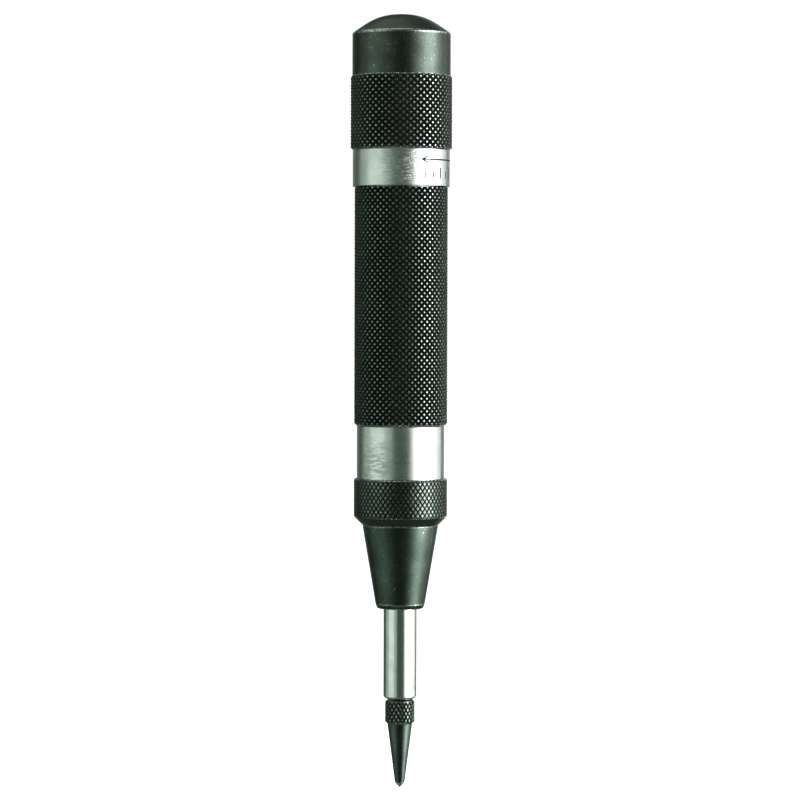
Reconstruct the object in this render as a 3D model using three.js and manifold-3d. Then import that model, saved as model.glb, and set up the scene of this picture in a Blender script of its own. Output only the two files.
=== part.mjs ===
/**
 * Automatic center punch, as an assembly of its separate pieces.
 *
 * Units are millimetres. +Z runs along the tool's axis from the point to the cap, and the origin
 * is at the tip of the point. The plunger is shown fully out and the cap fully screwed down.
 *
 * Pressing the tool down drives the rod and its pin into the body. The pin pushes against the
 * trigger, whose hole is held off centre by a small spring, so the hammer rises with it and loads
 * the main spring. The tapered throat of the barrel's bore then pushes the trigger back to centre,
 * the hole lines up with the pin, and the hammer drops over the pin and strikes it.
 */
import * as THREE from "three";
import { mergeVertices } from "three/addons/utils/BufferGeometryUtils.js";
import Module from "manifold-3d";

// Punch point: a ground tip, a slim cone, a knurled collar and a shank that screws into the rod
const TIP_RADIUS = 0.82;
const CONE_TOP_RADIUS = 2.15;
const CONE_TOP_Z = 11.1;
const COLLAR_RADIUS = 2.57;
const COLLAR_TOP_Z = 15.2;
const COLLAR_CHAMFER = 0.3;
const SHANK_RADIUS = 1.45;
const SHANK_TOP_Z = 21;

// Plunger rod, with a shoulder that stops it on the floor of the nosepiece's counterbore
const ROD_RADIUS = 2.875;
const ROD_BOTTOM_Z = 15.5;
const ROD_CHAMFER = 0.35;
const SHANK_SOCKET_RADIUS = 1.55;
const SHANK_SOCKET_TOP_Z = 22;
const SHOULDER_RADIUS = 4.27;
const SHOULDER_BOTTOM_Z = 44.05;
const SHOULDER_TOP_Z = 47;

// Plunger pin, pressed into the top of the rod
const PIN_RADIUS = 1.6;
const PIN_SOCKET_RADIUS = 1.65;
const PIN_BOTTOM_Z = 40;
const PIN_TOP_Z = 68.9;

// Nosepiece: a short knurled ring over a tapering nose, with a threaded spigot for the barrel
const NOSE_FACE_Z = 31.1;
const NOSE_FACE_RADIUS = 3.95;
const NOSE_ROUND_RADIUS = 4.25;
const NOSE_ROUND_TOP_Z = 31.8;
const NOSE_CONE_RADIUS = 6.55;
const NOSE_CONE_TOP_Z = 45.5;
const NOSE_KNURL_BOTTOM_Z = 46.9;
const NOSE_BORE_RADIUS = 2.93;
const COUNTERBORE_RADIUS = 4.35;
const COUNTERBORE_FLOOR_Z = 44;
const SPIGOT_RADIUS = 5.9;
const SPIGOT_TOP_Z = 62;

// Barrel: a bright band, a long knurled grip and a threaded neck for the cap
const BODY_KNURL_RADIUS = 8.05;
const BARREL_BOTTOM_Z = 53.5;
const LOWER_BAND_RADIUS = 7.55;
const LOWER_BAND_TOP_Z = 62.3;
const BARREL_SHOULDER_Z = 103.6;
const NECK_RADIUS = 6.9;
const NECK_RELIEF_RADIUS = 6.3;
const NECK_RELIEF_LENGTH = 0.8;
const NECK_TOP_Z = 119;
const SPIGOT_BORE_RADIUS = 5.98;
const TRIGGER_BORE_RADIUS = 5.7;
const THROAT_BOTTOM_Z = 77;
const THROAT_TOP_Z = 80.8;
const HAMMER_BORE_RADIUS = 4.95;

// Stop ring, clamped between the spigot and a shoulder in the barrel
const STOP_RING_RADIUS = 5.9;
const STOP_RING_HOLE_RADIUS = 2.4;
const STOP_RING_TOP_Z = 64;

// Hammer, with a blind hole for the pin and a cross slot for the trigger
const HAMMER_RADIUS = 4.87;
const HAMMER_BOTTOM_Z = 64.05;
const HAMMER_TOP_Z = 88;
const HAMMER_CHAMFER = 0.4;
const PIN_HOLE_RADIUS = 1.75;
const PIN_HOLE_TOP_Z = 76.5;
const SLOT_BOTTOM_Z = 69;
const SLOT_TOP_Z = 72.1;
const SLOT_HALF_WIDTH = 2.7;
const SLOT_END_X = -4;

// Trigger, shown pushed off centre by its spring
const TRIGGER_OFFSET = 0.75;
const TRIGGER_REAR_X = -1.9;
const TRIGGER_HALF_WIDTH = 2.6;
const TRIGGER_NOSE_RADIUS = 4.8;
const TRIGGER_GAP = 0.1;

// Springs
const MAIN_SPRING = { turns: 10, radius: 3.85, wire: 1.6, bottom: HAMMER_TOP_Z, top: 118 };
const RETURN_SPRING = { turns: 6.5, radius: 2.9, wire: 0.7, bottom: SHOULDER_TOP_Z, top: SPIGOT_TOP_Z };
const TRIGGER_SPRING = { turns: 3.5, radius: 1.1, wire: 0.25, bottom: SLOT_END_X, top: TRIGGER_REAR_X };
const SPRING_SPIGOT_RADIUS = 2.6;
const SPRING_SPIGOT_LENGTH = 3;
const CLOSED_TURNS = 1;
const CLOSED_PITCH = 1.15;

// Spring seat, a plug with a pivot on which the cap turns
const SEAT_RADIUS = 4.8;
const SEAT_TOP_Z = 122.4;
const SEAT_PIVOT_RADIUS = 1;
const SEAT_PIVOT_GAP = 0.05;

// Adjusting cap: a bright skirt, a knurled ring, a smooth band and a low dome
const CAP_BOTTOM_Z = 103.75;
const SKIRT_RADIUS = 8.35;
const SKIRT_TOP_Z = 110.2;
const CAP_KNURL_RADIUS = 8.75;
const CAP_KNURL_TOP_Z = 122.8;
const CAP_RADIUS = 8.45;
const DOME_EDGE_Z = 130.1;
const DOME_TOP_Z = 133.3;
const CAP_THREAD_RADIUS = 6.98;
const CAP_ROOF_Z = 124;

// Small edges and the fineness of the round surfaces
const EDGE = 0.15;
const KNURL_CHAMFER = 0.45;
const DRILL_POINT = 0.5;
const WIDE_SEGMENTS = 32;
const NARROW_SEGMENTS = 24;
const DOME_STEPS = 6;
const TRIGGER_ARC_STEPS = 8;
const WIRE_SIDES = 6;
const STEPS_PER_TURN = 12;
const WELD_TOLERANCE = 1e-4;

const BLACK_OXIDE = { color: 0x1b211e, roughness: 0.45, metalness: 0.9 };
const BRIGHT_STEEL = { color: 0xc9cfcb, roughness: 0.25, metalness: 1.0 };
const HARDENED_STEEL = { color: 0x8f9290, roughness: 0.35, metalness: 1.0 };
const SPRING_STEEL = { color: 0x6d6f70, roughness: 0.4, metalness: 1.0 };

const wasm = await Module();
wasm.setup();

/** Keeps only positions, joins shared vertices and drops the triangles that collapse on the axis. */
function weld(geometry) {
  geometry.deleteAttribute("normal");
  geometry.deleteAttribute("uv");
  const joined = mergeVertices(geometry, WELD_TOLERANCE);
  const index = joined.getIndex().array;
  const kept = [];
  for (let i = 0; i < index.length; i += 3) {
    const [a, b, c] = [index[i], index[i + 1], index[i + 2]];
    if (a !== b && b !== c && c !== a) {
      kept.push(a, b, c);
    }
  }
  joined.setIndex(kept);
  return joined;
}

/** Turns a profile of [radius, z] pairs about the axis. An outside edge is listed upwards. */
function revolve(profile, segments) {
  const points = profile.map(([radius, z]) => new THREE.Vector2(radius, z));
  return weld(new THREE.LatheGeometry(points, segments).rotateX(Math.PI / 2));
}

/** The same for a profile that doesn't reach the axis and closes on its own first point. */
function revolveRing(profile, segments) {
  return revolve([...profile, profile[0]], segments);
}

/** The outside edge of a cylinder with chamfered ends, listed upwards. */
function cylinderEdge(radius, bottom, top, bottomChamfer, topChamfer) {
  return [
    [radius - bottomChamfer, bottom],
    [radius, bottom + bottomChamfer],
    [radius, top - topChamfer],
    [radius - topChamfer, top],
  ];
}

/** The inside edge of a blind hole that opens downwards, from its drilled tip to its mouth. */
function blindHole(radius, mouth, depthZ) {
  return [
    [0, depthZ + radius * DRILL_POINT],
    [radius, depthZ],
    [radius, mouth],
  ];
}

/** A wire wound right-handed about +Z, with close turns at both ends as on a ground spring. */
class CoilCurve extends THREE.Curve {
  constructor({ turns, radius, wire, bottom, top }) {
    super();
    this.turns = turns;
    this.radius = radius;
    this.bottom = bottom + wire / 2;
    this.rise = top - bottom - wire;
    this.closedRise = CLOSED_TURNS * wire * CLOSED_PITCH;
  }

  height(turn) {
    const openTurns = this.turns - 2 * CLOSED_TURNS;
    const openRise = this.rise - 2 * this.closedRise;
    if (turn < CLOSED_TURNS) {
      return (this.closedRise * turn) / CLOSED_TURNS;
    }
    if (turn > this.turns - CLOSED_TURNS) {
      return this.rise - (this.closedRise * (this.turns - turn)) / CLOSED_TURNS;
    }
    return this.closedRise + (openRise * (turn - CLOSED_TURNS)) / openTurns;
  }

  getPoint(t, target = new THREE.Vector3()) {
    const turn = t * this.turns;
    const angle = turn * 2 * Math.PI;
    const z = this.bottom + this.height(turn);
    return target.set(this.radius * Math.cos(angle), this.radius * Math.sin(angle), z);
  }
}

/** Points along an arc about (centreX, 0), without its end point. */
function arcPoints(centreX, radius, startAngle, endAngle, steps) {
  const points = [];
  for (let i = 0; i < steps; i += 1) {
    const angle = startAngle + ((endAngle - startAngle) * i) / steps;
    points.push(new THREE.Vector2(centreX + radius * Math.cos(angle), radius * Math.sin(angle)));
  }
  return points;
}

function coilSpring(spring) {
  const section = new THREE.Shape(arcPoints(0, spring.wire / 2, 0, 2 * Math.PI, WIRE_SIDES));
  const steps = Math.round(spring.turns * STEPS_PER_TURN);
  const path = new CoilCurve(spring);
  return weld(new THREE.ExtrudeGeometry(section, { steps, extrudePath: path, bevelEnabled: false }));
}

function asManifold(geometry) {
  const vertProperties = new Float32Array(geometry.getAttribute("position").array);
  const triVerts = new Uint32Array(geometry.getIndex().array);
  return new wasm.Manifold(new wasm.Mesh({ numProp: 3, vertProperties, triVerts }));
}

function asGeometry(manifold) {
  const { vertProperties, triVerts } = manifold.getMesh();
  const geometry = new THREE.BufferGeometry();
  geometry.setAttribute("position", new THREE.BufferAttribute(new Float32Array(vertProperties), 3));
  geometry.setIndex(Array.from(triVerts));
  return geometry;
}

function piece(name, geometry, finish) {
  const material = new THREE.MeshStandardMaterial({ ...finish, flatShading: true });
  const mesh = new THREE.Mesh(geometry, material);
  mesh.name = name;
  return mesh;
}

function punchPoint() {
  const profile = [
    [0, 0],
    [TIP_RADIUS, TIP_RADIUS],
    [CONE_TOP_RADIUS, CONE_TOP_Z],
    ...cylinderEdge(COLLAR_RADIUS, CONE_TOP_Z, COLLAR_TOP_Z, COLLAR_CHAMFER, COLLAR_CHAMFER),
    [SHANK_RADIUS, COLLAR_TOP_Z],
    [SHANK_RADIUS, SHANK_TOP_Z - EDGE],
    [SHANK_RADIUS - EDGE, SHANK_TOP_Z],
    [0, SHANK_TOP_Z],
  ];
  return piece("punch_point", revolve(profile, NARROW_SEGMENTS), BLACK_OXIDE);
}

function plungerRod() {
  const profile = [
    [ROD_RADIUS - ROD_CHAMFER, ROD_BOTTOM_Z],
    [ROD_RADIUS, ROD_BOTTOM_Z + ROD_CHAMFER],
    [ROD_RADIUS, SHOULDER_BOTTOM_Z],
    ...cylinderEdge(SHOULDER_RADIUS, SHOULDER_BOTTOM_Z, SHOULDER_TOP_Z, EDGE, EDGE),
    [PIN_SOCKET_RADIUS, SHOULDER_TOP_Z],
    [PIN_SOCKET_RADIUS, PIN_BOTTOM_Z - EDGE],
    [0, PIN_BOTTOM_Z - EDGE],
    ...blindHole(SHANK_SOCKET_RADIUS, ROD_BOTTOM_Z, SHANK_SOCKET_TOP_Z),
    [ROD_RADIUS - ROD_CHAMFER, ROD_BOTTOM_Z],
  ];
  return piece("plunger_rod", revolve(profile, NARROW_SEGMENTS), BRIGHT_STEEL);
}

function plungerPin() {
  const edge = cylinderEdge(PIN_RADIUS, PIN_BOTTOM_Z, PIN_TOP_Z, EDGE, EDGE);
  const profile = [[0, PIN_BOTTOM_Z], ...edge, [0, PIN_TOP_Z]];
  return piece("plunger_pin", revolve(profile, NARROW_SEGMENTS), HARDENED_STEEL);
}

function nosepiece() {
  const knurl = cylinderEdge(BODY_KNURL_RADIUS, NOSE_KNURL_BOTTOM_Z, BARREL_BOTTOM_Z, 0, KNURL_CHAMFER);
  const profile = [
    [NOSE_BORE_RADIUS, NOSE_FACE_Z],
    [NOSE_FACE_RADIUS, NOSE_FACE_Z],
    [NOSE_ROUND_RADIUS, NOSE_ROUND_TOP_Z],
    [NOSE_CONE_RADIUS, NOSE_CONE_TOP_Z],
    ...knurl.slice(1),
    [SPIGOT_RADIUS, BARREL_BOTTOM_Z],
    [SPIGOT_RADIUS, SPIGOT_TOP_Z - EDGE],
    [SPIGOT_RADIUS - EDGE, SPIGOT_TOP_Z],
    [COUNTERBORE_RADIUS, SPIGOT_TOP_Z],
    [COUNTERBORE_RADIUS, COUNTERBORE_FLOOR_Z],
    [NOSE_BORE_RADIUS, COUNTERBORE_FLOOR_Z],
  ];
  return piece("nosepiece", revolveRing(profile, WIDE_SEGMENTS), BLACK_OXIDE);
}

function barrel() {
  const profile = [
    [SPIGOT_BORE_RADIUS, BARREL_BOTTOM_Z],
    [LOWER_BAND_RADIUS - EDGE, BARREL_BOTTOM_Z],
    [LOWER_BAND_RADIUS, BARREL_BOTTOM_Z + EDGE],
    [LOWER_BAND_RADIUS, LOWER_BAND_TOP_Z],
    [BODY_KNURL_RADIUS, LOWER_BAND_TOP_Z + BODY_KNURL_RADIUS - LOWER_BAND_RADIUS],
    [BODY_KNURL_RADIUS, BARREL_SHOULDER_Z],
    [NECK_RELIEF_RADIUS, BARREL_SHOULDER_Z],
    [NECK_RELIEF_RADIUS, BARREL_SHOULDER_Z + NECK_RELIEF_LENGTH],
    [NECK_RADIUS, BARREL_SHOULDER_Z + 2 * NECK_RELIEF_LENGTH],
    [NECK_RADIUS, NECK_TOP_Z - KNURL_CHAMFER],
    [NECK_RADIUS - KNURL_CHAMFER, NECK_TOP_Z],
    [HAMMER_BORE_RADIUS, NECK_TOP_Z],
    [HAMMER_BORE_RADIUS, THROAT_TOP_Z],
    [TRIGGER_BORE_RADIUS, THROAT_BOTTOM_Z],
    [TRIGGER_BORE_RADIUS, STOP_RING_TOP_Z],
    [SPIGOT_BORE_RADIUS, STOP_RING_TOP_Z],
  ];
  return piece("barrel", revolveRing(profile, WIDE_SEGMENTS), BLACK_OXIDE);
}

function stopRing() {
  const profile = [
    [STOP_RING_HOLE_RADIUS, SPIGOT_TOP_Z],
    ...cylinderEdge(STOP_RING_RADIUS, SPIGOT_TOP_Z, STOP_RING_TOP_Z, EDGE, EDGE),
    [STOP_RING_HOLE_RADIUS, STOP_RING_TOP_Z],
  ];
  return piece("stop_ring", revolveRing(profile, WIDE_SEGMENTS), HARDENED_STEEL);
}

function hammer() {
  const profile = [
    ...cylinderEdge(HAMMER_RADIUS, HAMMER_BOTTOM_Z, HAMMER_TOP_Z, HAMMER_CHAMFER, HAMMER_CHAMFER),
    [SPRING_SPIGOT_RADIUS, HAMMER_TOP_Z],
    [SPRING_SPIGOT_RADIUS, HAMMER_TOP_Z + SPRING_SPIGOT_LENGTH - HAMMER_CHAMFER],
    [SPRING_SPIGOT_RADIUS - HAMMER_CHAMFER, HAMMER_TOP_Z + SPRING_SPIGOT_LENGTH],
    [0, HAMMER_TOP_Z + SPRING_SPIGOT_LENGTH],
    ...blindHole(PIN_HOLE_RADIUS, HAMMER_BOTTOM_Z, PIN_HOLE_TOP_Z),
  ];
  const slotLength = TRIGGER_BORE_RADIUS - SLOT_END_X;
  const slot = new THREE.BoxGeometry(slotLength, 2 * SLOT_HALF_WIDTH, SLOT_TOP_Z - SLOT_BOTTOM_Z);
  slot.translate(SLOT_END_X + slotLength / 2, 0, (SLOT_TOP_Z + SLOT_BOTTOM_Z) / 2);
  const body = asManifold(revolveRing(profile, WIDE_SEGMENTS));
  return piece("hammer", asGeometry(body.subtract(asManifold(weld(slot)))), HARDENED_STEEL);
}

function trigger() {
  const noseAngle = Math.asin(TRIGGER_HALF_WIDTH / TRIGGER_NOSE_RADIUS);
  const outline = new THREE.Shape([
    ...arcPoints(TRIGGER_OFFSET, TRIGGER_NOSE_RADIUS, -noseAngle, noseAngle, TRIGGER_ARC_STEPS),
    new THREE.Vector2(TRIGGER_OFFSET + TRIGGER_NOSE_RADIUS * Math.cos(noseAngle), TRIGGER_HALF_WIDTH),
    new THREE.Vector2(TRIGGER_REAR_X, TRIGGER_HALF_WIDTH),
    new THREE.Vector2(TRIGGER_REAR_X, -TRIGGER_HALF_WIDTH),
  ]);
  const holeEdge = arcPoints(TRIGGER_OFFSET, PIN_HOLE_RADIUS, 0, -2 * Math.PI, NARROW_SEGMENTS);
  outline.holes.push(new THREE.Path(holeEdge));
  const depth = SLOT_TOP_Z - SLOT_BOTTOM_Z - 2 * TRIGGER_GAP;
  const plate = new THREE.ExtrudeGeometry(outline, { depth, bevelEnabled: false });
  plate.translate(0, 0, SLOT_BOTTOM_Z + TRIGGER_GAP);
  return piece("trigger", weld(plate), HARDENED_STEEL);
}

function mainSpring() {
  return piece("main_spring", coilSpring(MAIN_SPRING), SPRING_STEEL);
}

function returnSpring() {
  return piece("return_spring", coilSpring(RETURN_SPRING), SPRING_STEEL);
}

/** The trigger spring's coil is wound along +Z and then laid along +X, level with the trigger. */
function triggerSpring() {
  const spring = piece("trigger_spring", coilSpring(TRIGGER_SPRING), SPRING_STEEL);
  spring.rotation.y = Math.PI / 2;
  spring.position.z = (SLOT_TOP_Z + SLOT_BOTTOM_Z) / 2;
  return spring;
}

function springSeat() {
  const profile = [
    [0, MAIN_SPRING.top - SPRING_SPIGOT_LENGTH],
    [SPRING_SPIGOT_RADIUS, MAIN_SPRING.top - SPRING_SPIGOT_LENGTH],
    [SPRING_SPIGOT_RADIUS, MAIN_SPRING.top],
    ...cylinderEdge(SEAT_RADIUS, MAIN_SPRING.top, SEAT_TOP_Z, EDGE, EDGE),
    [SEAT_PIVOT_RADIUS, CAP_ROOF_Z - SEAT_PIVOT_GAP],
    [0, CAP_ROOF_Z - SEAT_PIVOT_GAP],
  ];
  return piece("spring_seat", revolve(profile, NARROW_SEGMENTS), HARDENED_STEEL);
}

/** The dome is a spherical cap on the smooth band, listed from its edge to the axis. */
function domeEdge() {
  const height = DOME_TOP_Z - DOME_EDGE_Z;
  const sphereRadius = (CAP_RADIUS ** 2 + height ** 2) / (2 * height);
  const edgeAngle = Math.asin(CAP_RADIUS / sphereRadius);
  const edge = [];
  for (let i = 0; i <= DOME_STEPS; i += 1) {
    const angle = edgeAngle * (1 - i / DOME_STEPS);
    const z = DOME_TOP_Z - sphereRadius * (1 - Math.cos(angle));
    edge.push([sphereRadius * Math.sin(angle), z]);
  }
  return edge;
}

function adjustingCap() {
  const profile = [
    ...cylinderEdge(SKIRT_RADIUS, CAP_BOTTOM_Z, SKIRT_TOP_Z, EDGE, 0).slice(0, 3),
    [CAP_KNURL_RADIUS, SKIRT_TOP_Z + CAP_KNURL_RADIUS - SKIRT_RADIUS],
    [CAP_KNURL_RADIUS, CAP_KNURL_TOP_Z - CAP_KNURL_RADIUS + CAP_RADIUS],
    [CAP_RADIUS, CAP_KNURL_TOP_Z],
    ...domeEdge(),
    [0, CAP_ROOF_Z],
    [CAP_THREAD_RADIUS, CAP_ROOF_Z],
    [CAP_THREAD_RADIUS, CAP_BOTTOM_Z + KNURL_CHAMFER],
    [CAP_THREAD_RADIUS + KNURL_CHAMFER, CAP_BOTTOM_Z],
  ];
  return piece("adjusting_cap", revolveRing(profile, WIDE_SEGMENTS), BLACK_OXIDE);
}

const centerPunch = new THREE.Group();
centerPunch.name = "automatic_center_punch";
centerPunch.add(
  adjustingCap(),
  springSeat(),
  mainSpring(),
  hammer(),
  trigger(),
  triggerSpring(),
  barrel(),
  stopRing(),
  returnSpring(),
  plungerPin(),
  plungerRod(),
  nosepiece(),
  punchPoint(),
);

export default centerPunch;
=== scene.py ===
import math

import bmesh
import bpy
import numpy as np
from mathutils import Matrix, Vector


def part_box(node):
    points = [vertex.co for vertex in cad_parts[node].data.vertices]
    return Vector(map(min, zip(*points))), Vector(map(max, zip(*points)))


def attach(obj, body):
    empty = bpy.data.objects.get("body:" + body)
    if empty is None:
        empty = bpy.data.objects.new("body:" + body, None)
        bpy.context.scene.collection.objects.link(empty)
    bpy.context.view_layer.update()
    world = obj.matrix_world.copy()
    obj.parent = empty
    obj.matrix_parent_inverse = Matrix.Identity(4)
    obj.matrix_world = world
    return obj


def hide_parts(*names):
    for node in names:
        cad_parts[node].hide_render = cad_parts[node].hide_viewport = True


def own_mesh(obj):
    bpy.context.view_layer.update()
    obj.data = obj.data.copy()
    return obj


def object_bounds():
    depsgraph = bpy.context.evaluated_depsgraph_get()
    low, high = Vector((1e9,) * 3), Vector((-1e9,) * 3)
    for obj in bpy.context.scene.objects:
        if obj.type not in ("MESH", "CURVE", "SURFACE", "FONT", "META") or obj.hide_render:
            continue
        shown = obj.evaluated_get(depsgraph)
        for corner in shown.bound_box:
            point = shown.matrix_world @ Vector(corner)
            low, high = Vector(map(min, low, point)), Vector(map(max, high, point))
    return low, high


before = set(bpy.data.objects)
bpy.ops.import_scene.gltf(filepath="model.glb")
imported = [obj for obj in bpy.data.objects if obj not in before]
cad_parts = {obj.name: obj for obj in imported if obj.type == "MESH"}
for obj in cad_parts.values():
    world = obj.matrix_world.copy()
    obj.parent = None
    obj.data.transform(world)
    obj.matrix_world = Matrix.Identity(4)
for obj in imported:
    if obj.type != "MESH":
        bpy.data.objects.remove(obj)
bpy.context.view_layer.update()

MM = 0.001
TAU = 2 * math.pi

# Finishes, as indices into a piece's material slots. The main finish is the black one on a piece that
# has both black and bright steel
MAIN = 0
BRIGHT = 1
MARKED = 2

# Knurls, in mm. "groove" is where the groove's flank ends, as a share of the pitch, "crown" is how much
# of the depth is the rounded top of each tooth, "worn" is how bright that top is rubbed, and "steps" is
# how many grid steps make one pitch.
CAP_KNURL = {
    "teeth": 45, "pitch": 1.1, "depth": 0.27, "groove": 1 / 3, "crown": 0.14, "worn": 1.0, "steps": 6,
}
BARREL_KNURL = {
    "teeth": 45, "pitch": 1.09, "depth": 0.27, "groove": 1 / 3, "crown": 0.14, "worn": 0.85, "steps": 6,
}
NOSE_KNURL = {
    "teeth": 58, "pitch": 1.2, "depth": 0.15, "groove": 1 / 6, "crown": 0.04, "worn": 0.22, "steps": 6,
}
COLLAR_KNURL = {
    "teeth": 22, "pitch": 1.22, "depth": 0.16, "groove": 1 / 4, "crown": 0.06, "worn": 0.08, "steps": 8,
}
CROWN_SCATTER = 0.8
CROWN_RIM_WEAR = 0.15
EDGE_WEAR = 0.6

# Threads of the cap and the nosepiece, in mm, and their grid steps in one lead
THREAD_LEAD = 1.0
THREAD_DEPTH = 0.5
THREAD_END = 0.5
THREAD_STEPS = 6

# Cap, in mm. Heights are above its lower edge, but the dome's is its own
SKIRT_HEIGHT = 6.25
SKIRT_RADIUS = 8.35
SKIRT_EDGE = 0.12
SKIRT_GROOVE_DEPTH = 0.04
SKIRT_GROOVE_RISE = 0.06
CAP_KNURL_TOP = 19.05
CAP_RADIUS = 8.45
DOME_HEIGHT = 3.2
DOME_EDGE = 0.4
DOME_CROWN_CORNER = 3.71
DOME_CROWN_ROUND = 10.0
DOME_STEPS = 8
CAP_THREAD_RADIUS = 6.98
CAP_THREAD_DEPTH = 0.4
CAP_THREAD_RUNOUT = 2.0
CAP_MOUTH_CHAMFER = 0.45
CAP_ROOF = 20.25

# Marks on the cap's skirt. Angles are in degrees right of the front, heights in mm above its lower edge
MARK_LINE = 0.28
MARK_DEPTH = 0.09
MARK_OVERCUT = 0.2
MARK_STEP = 1.5
ARROW_HEIGHT = 4.45
ARROW_TIP = 25
ARROW_SHAFT = (27, 88)
BARB_END = 34
BARB_RISE = 0.62
TICK_ANGLES = range(29, 90, 12)
TICK_BOTTOM = 1.3
TICK_TOPS = (3.1, 2.5)

# Barrel, in mm above its lower edge
LOWER_BAND_RADIUS = 7.55
LOWER_BAND_HEIGHT = 9.05
LOWER_BAND_EDGE = 0.1
LOWER_BAND_END = 0.12
LOWER_BAND_GROOVE_DEPTH = 0.03
LOWER_BAND_GROOVE_RISE = 0.05
BARREL_SHOULDER = 50.1
NECK_RADIUS = 6.9
NECK_RELIEF_RADIUS = 6.3
NECK_RELIEF = 1.0
NECK_THREAD_BOTTOM = 1.3
SPIGOT_BORE_RADIUS = 5.98
STOP_RING_SHOULDER = 10.5
TRIGGER_BORE_RADIUS = 5.7
THROAT_BOTTOM = 23.5
THROAT_TOP = 27.3
HAMMER_BORE_RADIUS = 4.95

# Nosepiece, in mm above its lower face
NOSE_FACE_RADIUS = 3.95
NOSE_FACE_EDGE = 0.15
NOSE_END_RADIUS = 4.25
NOSE_END_HEIGHT = 0.7
NOSE_END_ROUND = 0.5
NOSE_CONE_RADIUS = 6.55
NOSE_CONE_HEIGHT = 14.4
NOSE_CONE_EDGE = 0.1
NOSE_KNURL_START = 0.1
NOSE_KNURL_ENDS = (0.15, 0.2)
NOSE_SHOULDER = 22.4
NOSE_BORE_RADIUS = 2.93
COUNTERBORE_RADIUS = 4.35
COUNTERBORE_FLOOR = 12.9
SPIGOT_RADIUS = 5.9
SPIGOT_NECK_RADIUS = 5.6
SPIGOT_CHAMFER = 0.4
SPIGOT_RUNOUT = 0.4
SPIGOT_LEAD_IN = 0.3

# Plunger rod, point and pin, in mm above their lower ends
ROD_RADIUS = 2.875
ROD_CHAMFER = 0.35
ROD_EDGES = (0.08, 0.12)
ROD_SHOULDER_BOTTOM = 28.55
PIN_SOCKET_RADIUS = 1.65
PIN_SOCKET_BOTTOM = 24.35
SHANK_SOCKET_RADIUS = 1.55
SHANK_SOCKET_DEPTH = 6.5
TIP_RADIUS = 0.82
TIP_GRIND = 0.03
TIP_FADE = 0.2
CONE_TOP = 11.1
CONE_TOP_RADIUS = 2.15
COLLAR_START = 0.1
COLLAR_TOP = 15.2
COLLAR_ENDS = (0.3, 0.3)
SHANK_RADIUS = 1.45
SHANK_NECK_RADIUS = 1.2
SHANK_LEAD = 0.5
SHANK_THREAD_DEPTH = 0.28
SHANK_CHAMFER = 0.3
SHANK_RUNOUT = 0.4
SHANK_LEAD_IN = 0.2
PIN_TOP_EDGE = 0.2

# Stop ring, hammer, trigger and spring seat, in mm. The hammer's heights are above its lower face
STOP_RING_HOLE_RADIUS = 2.4
SPRING_SPIGOT_RADIUS = 2.6
SPRING_SPIGOT_LENGTH = 3.0
HAMMER_EDGE = 0.4
HAMMER_FILLET = 0.2
PIN_HOLE_RADIUS = 1.75
PIN_HOLE_DEPTH = 12.45
SLOT_BOTTOM = 4.95
SLOT_HEIGHT = 3.1
SLOT_WIDTH = 5.4
SLOT_END_X = -4.0
TRIGGER_EDGE = 0.12
TRIGGER_CORNER = math.radians(40)
SEAT_EDGES = (0.4, 0.15, 0.2, 0.3)
SEAT_PIVOT_LENGTH = 1.55
SEAT_PIVOT_RADIUS = 1.0

# Springs, in mm. Each end turn is closed, at CLOSED_PITCH wires a turn, and GROUND_OFF of a wire is
# left below the middle of its ground end. "steps" is for one turn, and "sides" is around the wire.
MAIN_SPRING = {"turns": 10, "radius": 3.85, "wire": 1.6, "steps": 48, "sides": 16}
RETURN_SPRING = {"turns": 6.5, "radius": 2.9, "wire": 0.7, "steps": 48, "sides": 16}
TRIGGER_SPRING = {"turns": 3.5, "radius": 1.1, "wire": 0.25, "steps": 32, "sides": 10}
CLOSED_TURNS = 1.0
CLOSED_PITCH = 0.98
GROUND_OFF = 0.25

# Small edges, in mm, and the fineness of the round surfaces
EDGE = 0.15
PLAIN_SECTORS = 96
FILLET_STEPS = 4
WEAR_FRINGE = 0.22
RING_GAP = 0.02
SHARP_ANGLE = math.radians(25)

# Colours of the steel, and where the bright bands are scuffed most, in metres
BRIGHT_STEEL = (0.62, 0.645, 0.625)
POLISHED_STEEL = (0.66, 0.68, 0.66)
HARDENED_STEEL = (0.45, 0.455, 0.45)
RUBBED_STEEL = (0.50, 0.52, 0.505)
FRECKLE = (0.22, 0.25, 0.23)
SCUFFED_STEEL = (0.12, 0.16, 0.13)
SKIRT_SCUFF = (0.0012, -0.0083, 0.1068)
BAND_SCUFF = (-0.0045, -0.0062, 0.0560)
SCUFF_DEPTH = 5.0

# Studio, in metres, apart from the sensor in mm. The rises are above the middle of the tool
TOOL_MIDDLE = 0.0669
CAMERA_DISTANCE = 0.550
CAMERA_RISE = 0.0169
AIM_RISE = 0.00015
CAMERA_SIDE = -0.00016
CAMERA_ROLL = math.radians(-0.155)
FRAME_WIDTH = 0.1379
SENSOR = 36.0
LIGHT_DISTANCE = 0.55
COOL_LIGHT = (0.875, 1.0, 0.90)
NEUTRAL_LIGHT = (0.985, 1.0, 1.0)
DIM_ROOM = (0.072, 0.110, 0.081, 1)
PALE_ROOM = (0.24, 0.27, 0.25, 1)
FLOOR_GAP = 0.0003
FLOOR_RADIUS = 2.0


# ---------------------------------------------------------------- outlines and meshes

def rounded(profile, steps=FILLET_STEPS):
    """Replaces each corner (r, z, radius, finish) by an arc, and gives rows (r, z, finish, wear).

    The arcs are worn bright, unless a fifth number says how much."""
    rows = []
    last = len(profile) - 1
    for i, corner in enumerate(profile):
        r, z, radius, finish = corner[:4]
        if radius and 0 < i < last:
            rows += corner_rows(profile[i - 1], corner, profile[i + 1], steps)
        else:
            rows.append((r, z, finish, 0.0))
    return rows


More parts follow.
